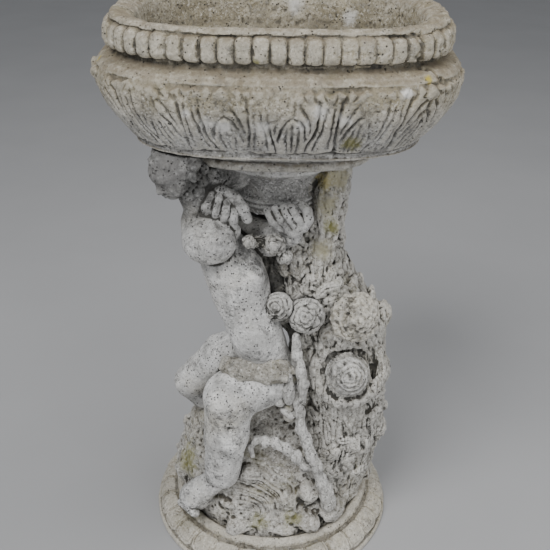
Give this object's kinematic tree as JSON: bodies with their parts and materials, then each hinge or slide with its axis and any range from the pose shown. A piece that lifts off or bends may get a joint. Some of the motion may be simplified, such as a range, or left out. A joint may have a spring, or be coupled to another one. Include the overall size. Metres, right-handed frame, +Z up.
{
  "type": "baptismal font",
  "caption": "Weathered cast-stone font: oval basin with a beaded rim and leaf-carved belly, held up by a seated putto beside a tree trunk, on a round plinth.",
  "frame": {"origin": "centre of the round plinth's underside, on the floor", "axes": "+Z up; the basin's long way along X; the carved, open side of the pedestal faces -Y, with the putto towards -X and the tree towards +X"},
  "size_m": [0.4761, 0.4, 0.842],
  "materials": {
    "basin_stone": "weathered, matt",
    "pedestal_stone": "weathered, matt",
    "steel": "plain"
  },
  "bodies": {
    "pedestal": {"neck_capital": "pedestal_stone", "plinth": "pedestal_stone", "putto_head": "pedestal_stone", "putto_torso": "pedestal_stone", "putto_left_arm": "pedestal_stone", "putto_right_arm": "pedestal_stone", "putto_left_hand": "pedestal_stone", "putto_right_hand": "pedestal_stone", "putto_left_leg": "pedestal_stone", "putto_right_leg": "pedestal_stone", "putto_left_foot": "pedestal_stone", "hip_drapery": "pedestal_stone", "tree_trunk": "pedestal_stone", "column_leaves": "pedestal_stone", "upper_branch_stub": "pedestal_stone", "lower_branch_stub": "pedestal_stone", "large_rose": "pedestal_stone", "small_rose": "pedestal_stone", "upper_flowers": "pedestal_stone", "vine": "pedestal_stone", "vine_fruit": "pedestal_stone", "rocky_ground": "pedestal_stone", "locating_dowel": "steel", "trunk_reinforcing_bar": "steel"},
    "basin": {"basin": "basin_stone"}
  },
  "joints": [
    {"name": "basin_lift", "type": "slide", "parent": "pedestal", "child": "basin", "axis": [0, 0, 1], "range_m": [0, 0.12]}
  ]
}
